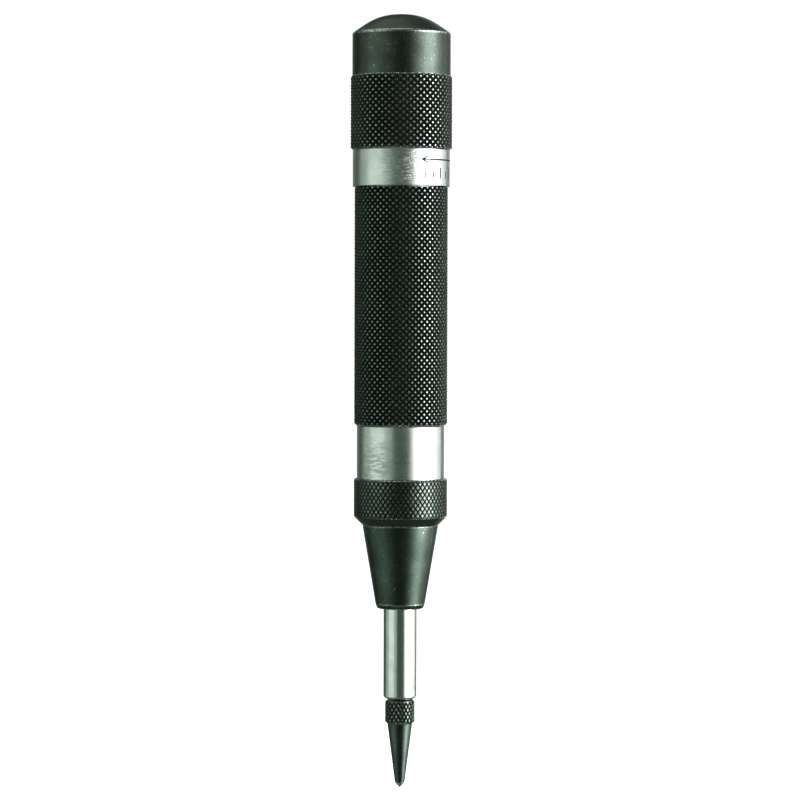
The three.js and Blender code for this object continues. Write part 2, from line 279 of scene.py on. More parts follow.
def corner_rows(before, corner, after, steps):
    """The rows of one rounded corner. Its wear fades out a little way along the faces beside it."""
    r, z, radius, finish, *worn = corner
    wear = worn[0] if worn else 1.0
    place = Vector((r, z))
    to_before = Vector(before[:2]) - place
    to_after = Vector(after[:2]) - place
    back, ahead = to_before.normalized(), to_after.normalized()
    half = back.angle(ahead) / 2
    reach = radius / math.tan(half)
    middle = place + (back + ahead).normalized() * radius / math.sin(half)
    start = place + back * reach - middle
    turn = start.angle_signed(place + ahead * reach - middle)
    rows = []
    if to_before.length > 2 * (reach + WEAR_FRINGE):
        rows.append((*(place + back * (reach + WEAR_FRINGE)), finish, 0.0))
    for k in range(steps + 1):
        spoke = start.copy()
        spoke.rotate(Matrix.Rotation(-turn * k / steps, 2))
        share = 1.0 if 0 < k < steps else 0.5
        rows.append((middle.x + spoke.x, middle.y + spoke.y, finish, wear * share))
    if to_after.length > 2 * (reach + WEAR_FRINGE):
        rows.append((*(place + ahead * (reach + WEAR_FRINGE)), finish, 0.0))
    return rows


def ring(r, z, finish, wear=0.0, relief=1.0, leans=None):
    """One ring of points for turned(). r, wear and relief are one number or one for each sector.

    relief is 0 at the bottom of a groove and 1 on the surface. leans says which way the face above each
    point is split, or is None for whole four-sided faces."""
    return {"r": r, "z": z, "finish": finish, "wear": wear, "relief": relief, "leans": leans}


def plain_rows(rows):
    """Rings for turned() from (r, z, finish, wear)."""
    return [ring(*row) for row in rows]


def knurl_rows(knurl, radius, bottom, top, ends):
    """Rings of a diamond knurl between two heights. ends are the chamfers at its bottom and top."""
    steps, groove, crown = knurl["steps"], knurl["groove"], knurl["crown"]
    count = round((top - bottom) / knurl["pitch"] * steps)
    sector = np.arange(sectors_of(knurl))
    chance = np.random.default_rng(knurl["teeth"])
    rows = []
    for k in range(count + 1):
        z = bottom + (top - bottom) * k / count
        gap = np.minimum(to_groove(sector + k, steps), to_groove(sector - k, steps)) / steps
        flank = np.clip(gap / groove, 0, 1)
        rise = np.clip((gap - groove) / (0.5 - groove), 0, 1)
        uneven = 1 + CROWN_SCATTER * (chance.random(len(sector)) - 0.5)
        height = flank * (1 - crown) + rise * crown * uneven
        radii = radius - knurl["depth"] * (1 - height)
        limit = radius - max(ends[0] - (z - bottom), ends[1] - (top - z), 0)
        cut = radii > limit
        rubbed = (CROWN_RIM_WEAR + (1 - CROWN_RIM_WEAR) * rise) * knurl["worn"] * (flank > 0.99)
        wear = np.where(cut, EDGE_WEAR, rubbed)
        leans = to_groove(sector + k + 1, steps) < to_groove(sector - k, steps)
        rows.append(ring(np.minimum(radii, limit), z, MAIN, wear, np.where(cut, 1.0, flank), leans))
    rows[-1]["leans"] = None
    return rows


def to_groove(position, steps):
    """How many grid steps away the nearest groove of one family is."""
    past = position % steps
    return np.minimum(past, steps - past)


def sectors_of(knurl):
    return knurl["teeth"] * knurl["steps"]


def thread_rows(radius, bottom, top, lead, depth, sectors, finish=MAIN):
    """Rings of a right-handed screw thread. A negative depth cuts it in the wall of a bore."""
    count = round((top - bottom) / lead * THREAD_STEPS)
    turn = np.arange(sectors) / sectors
    rows = []
    for k in range(count + 1):
        z = bottom + (top - bottom) * k / count
        phase = (z / lead - turn) % 1.0
        # A quarter of the lead is flat crest, a quarter is flat root, and straight flanks join them
        ramp = np.clip(np.abs(phase - 0.5) * 4 - 0.5, 0, 1)
        runout = min(1.0, (z - bottom) / lead, (top - z) / lead)
        rows.append(ring(radius - depth * ramp * runout, z, finish))
    return rows


def turned(name, rows, sectors=PLAIN_SECTORS):
    """A mesh turned about the axis from rings listed upwards outside and downwards inside."""
    angle = np.arange(sectors) * TAU / sectors
    radii = np.array([np.broadcast_to(row["r"], sectors) for row in rows]) * MM
    heights = np.array([row["z"] for row in rows])[:, None] * MM
    points = np.stack([radii * np.cos(angle), radii * np.sin(angle), heights + 0 * radii], axis=2)
    faces, finishes = ring_faces(rows, sectors, closes=bool(np.all(radii[0] > 0)))
    mesh = bpy.data.meshes.new(name)
    mesh.from_pydata(points.reshape(-1, 3).tolist(), [], faces)
    mesh.polygons.foreach_set("material_index", finishes)
    for kind in ("wear", "relief"):
        values = np.array([np.broadcast_to(row[kind], sectors) for row in rows])
        layer = mesh.attributes.new(kind, "FLOAT", "POINT")
        layer.data.foreach_set("value", values.reshape(-1).astype(np.float32))
    weld(mesh)
    return mesh


def ring_faces(rows, sectors, closes):
    """The faces between the rings, and the finish of each. closes joins the last ring to the first."""
    faces = []
    finishes = []
    for k in range(len(rows) if closes else len(rows) - 1):
        above = (k + 1) % len(rows)
        leans = rows[k]["leans"]
        for j in range(sectors):
            right = (j + 1) % sectors
            a, b = k * sectors + j, k * sectors + right
            c, d = above * sectors + right, above * sectors + j
            if leans is None:
                faces.append((a, b, c, d))
            elif leans[j]:
                faces += [(a, b, d), (b, c, d)]
            else:
                faces += [(a, b, c), (a, c, d)]
        finishes += [rows[k]["finish"]] * (sectors if leans is None else 2 * sectors)
    return faces, finishes


def weld(mesh):
    """Joins the points that meet on the axis, and turns every face outwards."""
    work = bmesh.new()
    work.from_mesh(mesh)
    bmesh.ops.remove_doubles(work, verts=work.verts, dist=1e-7)
    bmesh.ops.recalc_face_normals(work, faces=work.faces)
    work.to_mesh(mesh)
    work.free()


def smoothed(mesh):
    mesh.polygons.foreach_set("use_smooth", [True] * len(mesh.polygons))
    mesh.set_sharp_from_angle(angle=SHARP_ANGLE)


def add_piece(name, mesh, body, materials, node):
    """Puts a mesh in the scene, on its body, in place of its CAD node."""
    smoothed(mesh)
    piece = bpy.data.objects.new(name, mesh)
    bpy.context.scene.collection.objects.link(piece)
    for material in materials:
        mesh.materials.append(material)
    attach(piece, body)
    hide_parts(node)
    return piece


def apply_modifiers(piece):
    """Keeps the shape that the modifiers make, and removes them."""
    depsgraph = bpy.context.evaluated_depsgraph_get()
    made = bpy.data.meshes.new_from_object(piece.evaluated_get(depsgraph))
    piece.modifiers.clear()
    piece.data = made


def low_z(node):
    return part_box(node)[0][2] / MM


def high_z(node):
    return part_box(node)[1][2] / MM


def radius_of(node):
    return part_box(node)[1][1] / MM


# ---------------------------------------------------------------- materials

class Shader:
    """A small helper that adds and links nodes in one material."""

    def __init__(self, name):
        self.material = bpy.data.materials.new(name)
        self.material.use_nodes = True
        self.tree = self.material.node_tree
        self.bsdf = self.tree.nodes["Principled BSDF"]
        self.place = self.add("ShaderNodeTexCoord").outputs["Object"]

    def add(self, kind, **values):
        node = self.tree.nodes.new(kind)
        for key, value in values.items():
            setattr(node, key, value)
        return node

    def link(self, source, target):
        self.tree.links.new(source, target)

    def scaled(self, scale):
        """The object's coordinates, stretched along each axis."""
        node = self.add("ShaderNodeMapping")
        node.inputs["Scale"].default_value = scale
        self.link(self.place, node.inputs["Vector"])
        return node.outputs["Vector"]

    def noise(self, scale, detail=4.0, roughness=0.55, stretch=(1, 1, 1)):
        node = self.add("ShaderNodeTexNoise")
        node.inputs["Scale"].default_value = scale
        node.inputs["Detail"].default_value = detail
        node.inputs["Roughness"].default_value = roughness
        self.link(self.scaled(stretch), node.inputs["Vector"])
        return node.outputs["Fac"]

    def distance(self, place):
        """How far each point is from one place in the part's own frame."""
        node = self.add("ShaderNodeVectorMath", operation="DISTANCE")
        self.link(self.place, node.inputs[0])
        node.inputs[1].default_value = place
        return node.outputs["Value"]

    def ranged(self, source, low, high, to_low=0.0, to_high=1.0):
        node = self.add("ShaderNodeMapRange")
        node.inputs["From Min"].default_value = low
        node.inputs["From Max"].default_value = high
        node.inputs["To Min"].default_value = to_low
        node.inputs["To Max"].default_value = to_high
        self.link(source, node.inputs["Value"])
        return node.outputs["Result"]

    def math(self, operation, first, second):
        node = self.add("ShaderNodeMath", operation=operation)
        for socket, value in zip(node.inputs, (first, second)):
            if isinstance(value, (int, float)):
                socket.default_value = value
            else:
                self.link(value, socket)
        return node.outputs["Value"]

    def mix(self, factor, first, second):
        """Mixes two colours. A Mix node's colour sockets are its inputs 6 and 7 and its output 2."""
        node = self.add("ShaderNodeMix", data_type="RGBA")
        self.link(factor, node.inputs["Factor"])
        for socket, value in ((node.inputs[6], first), (node.inputs[7], second)):
            if isinstance(value, tuple):
                socket.default_value = (*value, 1)
            else:
                self.link(value, socket)
        return node.outputs[2]

    def attribute(self, name):
        return self.add("ShaderNodeAttribute", attribute_name=name).outputs["Fac"]

    def bump(self, height, strength, distance):
        node = self.add("ShaderNodeBump")
        node.inputs["Strength"].default_value = strength
        node.inputs["Distance"].default_value = distance
        self.link(height, node.inputs["Height"])
        self.link(node.outputs["Normal"], self.bsdf.inputs["Normal"])


def black_oxide(name, tint, rough=0.33):
    """Blackened steel: a thin dark skin over metal, speckled, darkened down the knurl grooves with grime
    and painted shade, and rubbed bright where hands reach.
    """
    s = Shader(name)
    cloud = s.noise(260, detail=6)
    speckle = s.noise(5200, detail=3, roughness=0.7)
    dark, pale, groove_grime_and_shade = (tuple(share * c for c in tint) for share in (0.053, 0.088, 0.026))
    skin = s.mix(s.ranged(cloud, 0.35, 0.7), dark, pale)
    freckled = s.mix(s.ranged(speckle, 0.57, 0.72, 0, 0.5), skin, FRECKLE)
    chips = s.ranged(s.noise(2900, detail=2), 0.655, 0.70, 0, 0.6)
    chipped = s.math("MULTIPLY", chips, s.ranged(cloud, 0.48, 0.62))
    nicked = s.mix(chipped, freckled, RUBBED_STEEL)
    # The knurl grooves get darker towards their bottoms: partly grime, partly painted shade where the
    # grooves' walls sit in shadow.
    groove = s.ranged(s.attribute("relief"), 0.2, 1.0, 1.0, 0.0)
    grimed_and_shaded = s.mix(groove, nicked, groove_grime_and_shade)
    patchy = s.ranged(s.noise(2600, detail=4, roughness=0.7), 0.38, 0.58, 0.0, 1.5)
    rubbed = s.math("MINIMUM", s.math("MULTIPLY", s.attribute("wear"), patchy), 1.0)
    s.link(s.mix(rubbed, grimed_and_shaded, RUBBED_STEEL), s.bsdf.inputs["Base Color"])
    s.bsdf.inputs["Metallic"].default_value = 1.0
    base = s.ranged(speckle, 0.3, 0.7, rough - 0.05, rough + 0.07)
    dull = s.math("ADD", base, s.math("MULTIPLY", groove, 0.2))
    s.link(s.math("SUBTRACT", dull, s.math("MULTIPLY", rubbed, 0.14)), s.bsdf.inputs["Roughness"])
    s.bump(s.noise(3600, detail=4, roughness=0.65), 0.3, 0.00002)
    return s.material


def turned_steel(name, colour, rough, line_strength, scuffed_at=None):
    """Bright steel with the fine lines that a lathe or a polishing belt leaves around it, and, about
    one place in the part's own frame, the scuffs that years in a toolbox leave."""
    s = Shader(name)
    lines = s.noise(1.0, detail=3, roughness=0.6, stretch=(90, 90, 9000))
    stain = s.noise(320, detail=5)
    tint = tuple(c * 0.82 for c in colour)
    skin = s.mix(s.ranged(stain, 0.35, 0.7), colour, tint)
    s.bsdf.inputs["Metallic"].default_value = 1.0
    broad = s.ranged(stain, 0.3, 0.7, rough - 0.04, rough + 0.05)
    dull = s.math("ADD", broad, s.ranged(lines, 0.3, 0.7, -0.03, 0.03))
    if scuffed_at:
        streaks = s.noise(1.0, detail=3, roughness=0.6, stretch=(620, 620, 3400))
        patch = s.ranged(s.distance(scuffed_at), 0.0015, 0.0058, 1.0, 0.0)
        marks = s.math("MULTIPLY", s.ranged(streaks, 0.52, 0.60), patch)
        skin = s.mix(s.math("MULTIPLY", marks, 0.35), skin, SCUFFED_STEEL)
        dull = s.math("ADD", dull, s.math("MULTIPLY", marks, 0.12))
        lines = s.math("SUBTRACT", lines, s.math("MULTIPLY", marks, SCUFF_DEPTH))
    s.link(skin, s.bsdf.inputs["Base Color"])
    s.link(dull, s.bsdf.inputs["Roughness"])
    s.bump(lines, line_strength, 0.00001)
    return s.material


def spring_wire():
    """Drawn spring wire: smooth, and clouded from brown to grey."""
    s = Shader("spring_wire")
    cloud = s.noise(900, detail=4)
    s.link(s.mix(cloud, (0.20, 0.19, 0.18), (0.42, 0.42, 0.42)), s.bsdf.inputs["Base Color"])
    s.bsdf.inputs["Metallic"].default_value = 1.0
    s.link(s.ranged(cloud, 0.3, 0.7, 0.24, 0.38), s.bsdf.inputs["Roughness"])
    s.bump(s.noise(6000, detail=2), 0.1, 0.00001)
    return s.material


def mark_fill():
    """The dark floor and walls of a shallow etched mark."""
    s = Shader("etched_mark")
    grain = s.noise(9000, detail=3)
    s.link(s.mix(grain, (0.010, 0.013, 0.011), (0.032, 0.040, 0.035)), s.bsdf.inputs["Base Color"])
    s.bsdf.inputs["Specular IOR Level"].default_value = 0.2
    s.bsdf.inputs["Roughness"].default_value = 0.7
    s.bump(grain, 0.4, 0.00001)
    return s.material


cap_oxide = black_oxide("cap_oxide", (0.80, 1.0, 0.85))
body_oxide = black_oxide("body_oxide", (0.70, 1.0, 0.80))
point_oxide = black_oxide("point_oxide", (1.05, 1.4, 1.2), rough=0.27)
skirt_steel = turned_steel("skirt_steel", BRIGHT_STEEL, 0.28, 0.5, scuffed_at=SKIRT_SCUFF)
band_steel = turned_steel("band_steel", BRIGHT_STEEL, 0.26, 0.5, scuffed_at=BAND_SCUFF)
rod_steel = turned_steel("rod_steel", POLISHED_STEEL, 0.18, 0.25)
hardened = turned_steel("hardened_steel", HARDENED_STEEL, 0.3, 0.5)
wire = spring_wire()
etched = mark_fill()


# ---------------------------------------------------------------- pieces

def make_cap():
    bottom, top = low_z("adjusting_cap"), high_z("adjusting_cap")
    radius = radius_of("adjusting_cap")
    sectors = sectors_of(CAP_KNURL)
    skirt_top = bottom + SKIRT_HEIGHT
    knurl_top = bottom + CAP_KNURL_TOP
    roof = bottom + CAP_ROOF
    skirt = rounded([
        (CAP_THREAD_RADIUS + CAP_MOUTH_CHAMFER, bottom, 0, BRIGHT),
        (SKIRT_RADIUS, bottom, SKIRT_EDGE, BRIGHT),
        (SKIRT_RADIUS, skirt_top - SKIRT_EDGE, 0, BRIGHT),
    ])
    groove = [(SKIRT_RADIUS - SKIRT_GROOVE_DEPTH, skirt_top, MAIN, 0.0)]
    ends = (radius - SKIRT_RADIUS, radius - CAP_RADIUS)
    knurl = knurl_rows(CAP_KNURL, radius, skirt_top + SKIRT_GROOVE_RISE, knurl_top, ends)
    dome = rounded([
        (CAP_RADIUS, knurl_top + RING_GAP, 0, MAIN),
        (CAP_RADIUS, top - DOME_HEIGHT, DOME_EDGE, MAIN),
        (DOME_CROWN_CORNER, top, DOME_CROWN_ROUND, MAIN, 0.0),
        (0, top, 0, MAIN),
    ], steps=DOME_STEPS)
    inside = [(0, roof, MAIN, 0.0), (CAP_THREAD_RADIUS, roof, MAIN, 0.0)]
    thread = thread_rows(CAP_THREAD_RADIUS, bottom + THREAD_END, roof - CAP_THREAD_RUNOUT,
                         THREAD_LEAD, -CAP_THREAD_DEPTH, sectors)
    rows = plain_rows(skirt + groove) + knurl + plain_rows(dome + inside) + thread[::-1]
    mesh = engrave(turned("adjusting_cap_body", rows, sectors), mark_outlines(), bottom)
    materials = (cap_oxide, skirt_steel, etched)
    add_piece("adjusting_cap_body", mesh, "cap", materials, "adjusting_cap")


def make_barrel():
    bottom, top = low_z("barrel"), high_z("barrel")
    radius = radius_of("barrel")
    sectors = sectors_of(BARREL_KNURL)
    band_top = bottom + LOWER_BAND_HEIGHT
    shoulder = bottom + BARREL_SHOULDER
    band = rounded([
        (SPIGOT_BORE_RADIUS, bottom, 0, BRIGHT),
        (LOWER_BAND_RADIUS, bottom, LOWER_BAND_EDGE, BRIGHT),
        (LOWER_BAND_RADIUS, band_top - LOWER_BAND_END, 0, BRIGHT),
    ])
    groove = [(LOWER_BAND_RADIUS - LOWER_BAND_GROOVE_DEPTH, band_top, MAIN, 0.0)]
    ends = (radius - LOWER_BAND_RADIUS, 0)
    knurl = knurl_rows(BARREL_KNURL, radius, band_top + LOWER_BAND_GROOVE_RISE, shoulder, ends)
    relief = [
        (NECK_RELIEF_RADIUS, shoulder, BRIGHT, 0.0),
        (NECK_RELIEF_RADIUS, shoulder + NECK_RELIEF, BRIGHT, 0.0),
    ]
    thread = thread_rows(NECK_RADIUS, shoulder + NECK_THREAD_BOTTOM, top - THREAD_END,
                         THREAD_LEAD, THREAD_DEPTH, sectors, BRIGHT)
    bore = [
        (NECK_RADIUS - THREAD_DEPTH, top, BRIGHT, 0.0),
        (HAMMER_BORE_RADIUS, top, BRIGHT, 0.0),
        (HAMMER_BORE_RADIUS, bottom + THROAT_TOP, BRIGHT, 0.0),
        (TRIGGER_BORE_RADIUS, bottom + THROAT_BOTTOM, BRIGHT, 0.0),
        (TRIGGER_BORE_RADIUS, bottom + STOP_RING_SHOULDER, BRIGHT, 0.0),
        (SPIGOT_BORE_RADIUS, bottom + STOP_RING_SHOULDER, BRIGHT, 0.0),
    ]
    rows = plain_rows(band + groove) + knurl + plain_rows(relief) + thread + plain_rows(bore)
    mesh = turned("barrel_body", rows, sectors)
    add_piece("barrel_body", mesh, "barrel", (body_oxide, band_steel), "barrel")


def make_nosepiece():
    bottom, top = low_z("nosepiece"), high_z("nosepiece")
    radius = radius_of("nosepiece")
    sectors = sectors_of(NOSE_KNURL)
    cone_top = bottom + NOSE_CONE_HEIGHT
    knurl_bottom = cone_top + radius - NOSE_CONE_RADIUS - NOSE_KNURL_START
    shoulder = bottom + NOSE_SHOULDER
    nose = rounded([
        (NOSE_BORE_RADIUS, bottom, 0, MAIN),
        (NOSE_FACE_RADIUS, bottom, NOSE_FACE_EDGE, MAIN),
        (NOSE_END_RADIUS, bottom + NOSE_END_HEIGHT, NOSE_END_ROUND, MAIN),
        (NOSE_CONE_RADIUS, cone_top, NOSE_CONE_EDGE, MAIN),
        (radius - NOSE_KNURL_START, knurl_bottom, 0, MAIN),
    ])
    knurl = knurl_rows(NOSE_KNURL, radius, knurl_bottom + RING_GAP, shoulder, NOSE_KNURL_ENDS)
    neck = [(SPIGOT_NECK_RADIUS, shoulder, MAIN, 0.0)]
    thread = thread_rows(SPIGOT_RADIUS, shoulder + SPIGOT_RUNOUT, top - SPIGOT_LEAD_IN,
                         THREAD_LEAD, THREAD_DEPTH, sectors)
    inside = [
        (SPIGOT_RADIUS - SPIGOT_CHAMFER, top, MAIN, 0.0),
        (COUNTERBORE_RADIUS, top, MAIN, 0.0),
        (COUNTERBORE_RADIUS, bottom + COUNTERBORE_FLOOR, MAIN, 0.0),
        (NOSE_BORE_RADIUS, bottom + COUNTERBORE_FLOOR, MAIN, 0.0),
    ]
    rows = plain_rows(nose) + knurl + plain_rows(neck) + thread + plain_rows(inside)
    mesh = turned("nosepiece_body", rows, sectors)
    add_piece("nosepiece_body", mesh, "barrel", (body_oxide,), "nosepiece")


def make_rod():
    bottom, top = low_z("plunger_rod"), high_z("plunger_rod")
    radius = radius_of("plunger_rod")
    shoulder = bottom + ROD_SHOULDER_BOTTOM
    socket = bottom + SHANK_SOCKET_DEPTH
    profile = [
        (SHANK_SOCKET_RADIUS, bottom, 0, MAIN),
        (ROD_RADIUS - ROD_CHAMFER, bottom, ROD_EDGES[0], MAIN),
        (ROD_RADIUS, bottom + ROD_CHAMFER, ROD_EDGES[1], MAIN),
        (ROD_RADIUS, shoulder, 0, MAIN),
        (radius, shoulder, EDGE, MAIN),
        (radius, top, EDGE, MAIN),
        (PIN_SOCKET_RADIUS, top, 0, MAIN),
        (PIN_SOCKET_RADIUS, bottom + PIN_SOCKET_BOTTOM, 0, MAIN),
        (0, bottom + PIN_SOCKET_BOTTOM, 0, MAIN),
        (0, socket + SHANK_SOCKET_RADIUS / 2, 0, MAIN),
        (SHANK_SOCKET_RADIUS, socket, 0, MAIN),
    ]
    mesh = turned("plunger_rod_body", plain_rows(rounded(profile)))
    add_piece("plunger_rod_body", mesh, "plunger", (rod_steel,), "plunger_rod")


def make_point():
    bottom, top = low_z("punch_point"), high_z("punch_point")
    radius = radius_of("punch_point")
    sectors = sectors_of(COLLAR_KNURL)
    collar_top = bottom + COLLAR_TOP
    ground = TIP_RADIUS - TIP_GRIND
    tip = [
        (0, bottom, BRIGHT, 1.0),
        (ground, bottom + ground, BRIGHT, 1.0),
        (TIP_RADIUS, bottom + TIP_RADIUS, MAIN, EDGE_WEAR),
        (TIP_RADIUS + TIP_GRIND, bottom + TIP_RADIUS + TIP_FADE, MAIN, 0.0),
        (CONE_TOP_RADIUS, bottom + CONE_TOP, MAIN, 0.0),
    ]
    knurl_bottom = bottom + CONE_TOP + COLLAR_START
    knurl = knurl_rows(COLLAR_KNURL, radius, knurl_bottom, collar_top, COLLAR_ENDS)
    neck = [(SHANK_NECK_RADIUS, collar_top, MAIN, 0.0)]
    thread = thread_rows(SHANK_RADIUS, collar_top + SHANK_RUNOUT, top - SHANK_LEAD_IN,
                         SHANK_LEAD, SHANK_THREAD_DEPTH, sectors)
    end = [(SHANK_RADIUS - SHANK_CHAMFER, top, MAIN, 0.0), (0, top, MAIN, 0.0)]
    rows = plain_rows(tip) + knurl + plain_rows(neck) + thread + plain_rows(end)
    mesh = turned("punch_point_body", rows, sectors)
    add_piece("punch_point_body", mesh, "plunger", (point_oxide, rod_steel), "punch_point")


def add_hardened(name, mesh, body, node):
    """Adds one of the hardened and ground pieces inside."""
    return add_piece(name, mesh, body, (hardened,), node)


def make_pin():
    bottom, top, radius = low_z("plunger_pin"), high_z("plunger_pin"), radius_of("plunger_pin")
    profile = [
        (0, bottom, 0, MAIN),
        (radius, bottom, EDGE, MAIN),
        (radius, top, PIN_TOP_EDGE, MAIN),
        (0, top, 0, MAIN),
    ]
    mesh = turned("plunger_pin_body", plain_rows(rounded(profile)))
    add_hardened("plunger_pin_body", mesh, "plunger", "plunger_pin")


def make_stop_ring():
    """The outline starts halfway up the hole, so that the edge at the hole's lower end can be rounded."""
    bottom, top, radius = low_z("stop_ring"), high_z("stop_ring"), radius_of("stop_ring")
    profile = [
        (STOP_RING_HOLE_RADIUS, (bottom + top) / 2, 0, MAIN),
        (STOP_RING_HOLE_RADIUS, bottom, EDGE, MAIN),
        (radius, bottom, EDGE, MAIN),
        (radius, top, EDGE, MAIN),
        (STOP_RING_HOLE_RADIUS, top, 0, MAIN),
    ]
    mesh = turned("stop_ring_body", plain_rows(rounded(profile)))
    add_hardened("stop_ring_body", mesh, "barrel", "stop_ring")


def make_hammer():
    bottom, top, radius = low_z("hammer"), high_z("hammer"), radius_of("hammer")
    shoulder = top - SPRING_SPIGOT_LENGTH
    profile = [
        (PIN_HOLE_RADIUS, bottom, 0, MAIN),
        (radius, bottom, HAMMER_EDGE, MAIN),
        (radius, shoulder, HAMMER_EDGE, MAIN),
        (SPRING_SPIGOT_RADIUS, shoulder, HAMMER_FILLET, MAIN),
        (SPRING_SPIGOT_RADIUS, top, HAMMER_EDGE, MAIN),
        (0, top, 0, MAIN),
        (0, bottom + PIN_HOLE_DEPTH + PIN_HOLE_RADIUS / 2, 0, MAIN),
        (PIN_HOLE_RADIUS, bottom + PIN_HOLE_DEPTH, 0, MAIN),
    ]
    mesh = cut_from(turned("hammer_body", plain_rows(rounded(profile))), slot_box(bottom, radius))
    add_hardened("hammer_body", mesh, "hammer", "hammer")


def slot_box(bottom, radius):
    """The box that the trigger's slot takes out of one side of the hammer."""
    length = radius + 1 - SLOT_END_X
    middle = Vector((SLOT_END_X + length / 2, 0, bottom + SLOT_BOTTOM + SLOT_HEIGHT / 2))
    work = bmesh.new()
    bmesh.ops.create_cube(work, size=1)
    for v in work.verts:
        v.co = (Vector((v.co.x * length, v.co.y * SLOT_WIDTH, v.co.z * SLOT_HEIGHT)) + middle) * MM
    mesh = bpy.data.meshes.new("slot_box")
    work.to_mesh(mesh)
    work.free()
    return mesh


def make_trigger():
    """The trigger keeps its CAD outline, with its edges broken as a hardened latch's are."""
    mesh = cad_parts["trigger"].data.copy()
    mesh.name = "trigger_plate"
    mesh.materials.clear()
    weld(mesh)
    piece = add_hardened("trigger_plate", mesh, "trigger", "trigger")
    edge = piece.modifiers.new("edge", "BEVEL")
    edge.width = TRIGGER_EDGE * MM
    edge.segments = 3
    edge.limit_method = "ANGLE"
    edge.angle_limit = TRIGGER_CORNER
    apply_modifiers(piece)
    smoothed(piece.data)


def make_spring_seat():
    bottom, top, radius = low_z("spring_seat"), high_z("spring_seat"), radius_of("spring_seat")
    disc = bottom + SPRING_SPIGOT_LENGTH
    profile = [
        (0, bottom, 0, MAIN),
        (SPRING_SPIGOT_RADIUS, bottom, SEAT_EDGES[0], MAIN),
        (SPRING_SPIGOT_RADIUS, disc, SEAT_EDGES[1], MAIN),
        (radius, disc, SEAT_EDGES[2], MAIN),
        (radius, top - SEAT_PIVOT_LENGTH, SEAT_EDGES[3], MAIN),
        (SEAT_PIVOT_RADIUS, top, SEAT_EDGES[0], MAIN),
        (0, top, 0, MAIN),
    ]
    mesh = turned("spring_seat_body", plain_rows(rounded(profile)))
    add_hardened("spring_seat_body", mesh, "spring_seat", "spring_seat")


def coil_mesh(name, spring, length):
    """A compression spring from z = 0 to length, in mm, wound right-handed."""
    turns, wire_radius, sides = spring["turns"], spring["wire"] / 2, spring["sides"]
    steps = int(turns * spring["steps"])
    turn = np.linspace(0, turns, steps + 1)
    first = spring["wire"] * GROUND_OFF
    rise = length - 2 * first
    closed_rise = CLOSED_TURNS * spring["wire"] * CLOSED_PITCH
    knots = [0, CLOSED_TURNS, turns - CLOSED_TURNS, turns]
    centre_z = first + np.interp(turn, knots, [0, closed_rise, rise - closed_rise, rise])
    around = (turn * TAU)[:, None]
    side = (np.arange(sides) * TAU / sides)[None, :]
    out = spring["radius"] + wire_radius * np.cos(side)
    z = np.clip(centre_z[:, None] + wire_radius * np.sin(side), 0, length)
    points = np.stack([out * np.cos(around), out * np.sin(around), z], axis=2).reshape(-1, 3) * MM
    mesh = bpy.data.meshes.new(name)
    mesh.from_pydata(points.tolist(), [], tube_faces(steps, sides))
    weld(mesh)
    return mesh


def tube_faces(steps, sides):
    """The faces of a closed tube of steps + 1 rings of points, with its two flat ends."""
    faces = []
    for k in range(steps):
        low, high = k * sides, (k + 1) * sides
        for j in range(sides):
            right = (j + 1) % sides
            faces.append((low + j, low + right, high + right, high + j))
    faces.append(tuple(range(sides))[::-1])
    faces.append(tuple(steps * sides + j for j in range(sides)))
    return faces


def make_upright_spring(node, spring, body):
    """A spring on the axis, as long as its CAD part. In the tool it shortens towards its fixed end as the
    joint moves.
    """
    low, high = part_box(node)
    length = high[2] - low[2]
    mesh = coil_mesh(node + "_coil", spring, length / MM)
    for v in mesh.vertices:
        v.co.z += low[2]
    piece = add_piece(node + "_coil", mesh, body, (wire,), node)
    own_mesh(piece)


def make_trigger_spring():
    """The trigger's spring lies along X, level with the trigger, and is fixed at its -X end."""
    low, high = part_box("trigger_spring")
    length = high[0] - low[0]
    middle_z = (low[2] + high[2]) / 2
    mesh = coil_mesh("trigger_spring_coil", TRIGGER_SPRING, length / MM)
    for v in mesh.vertices:
        v.co = Vector((v.co.z + low[0], v.co.y, middle_z - v.co.x))
    piece = add_piece("trigger_spring_coil", mesh, "hammer", (wire,), "trigger_spring")
    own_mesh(piece)


def mark_outlines():
    """An arrow around the skirt over a row of tick marks, in (degrees right of front, mm up)."""
    half = MARK_LINE / 2
    half_turn = math.degrees(half / SKIRT_RADIUS)
    low, high = ARROW_HEIGHT - half, ARROW_HEIGHT + half
    start, end = ARROW_SHAFT
    outlines = [[(start, low), (end, low), (end, high), (start, high)]]
    for rise in (-BARB_RISE, BARB_RISE):
        barb_low, barb_high = low + rise, high + rise
        outlines.append([(ARROW_TIP, low), (BARB_END, barb_low), (BARB_END, barb_high), (ARROW_TIP, high)])
    for i, degrees in enumerate(TICK_ANGLES):
        left, right = degrees - half_turn, degrees + half_turn
        tick_top = TICK_TOPS[i % 2]
        outlines.append([(left, TICK_BOTTOM), (right, TICK_BOTTOM), (right, tick_top), (left, tick_top)])
    return outlines


def engrave(mesh, outlines, bottom):
    """Cuts the marks into the cap's skirt."""
    for outline in outlines:
        cutter = mark_cutter(outline, bottom)
        cutter.polygons.foreach_set("material_index", [MARKED] * len(cutter.polygons))
        mesh = cut_from(mesh, cutter)
    return mesh


def cut_from(mesh, cutter_mesh):
    """The mesh with the cutter's solid taken away. The cut faces keep the cutter's finish."""
    whole = bpy.data.objects.new("whole", mesh)
    cutter = bpy.data.objects.new("cutter", cutter_mesh)
    for thing in (whole, cutter):
        bpy.context.scene.collection.objects.link(thing)
    cut = whole.modifiers.new("cut", "BOOLEAN")
    cut.object = cutter
    cut.operation = "DIFFERENCE"
    cut.solver = "EXACT"
    depsgraph = bpy.context.evaluated_depsgraph_get()
    made = bpy.data.meshes.new_from_object(whole.evaluated_get(depsgraph))
    made.name = mesh.name
    bpy.data.objects.remove(whole)
    bpy.data.objects.remove(cutter)
    return made


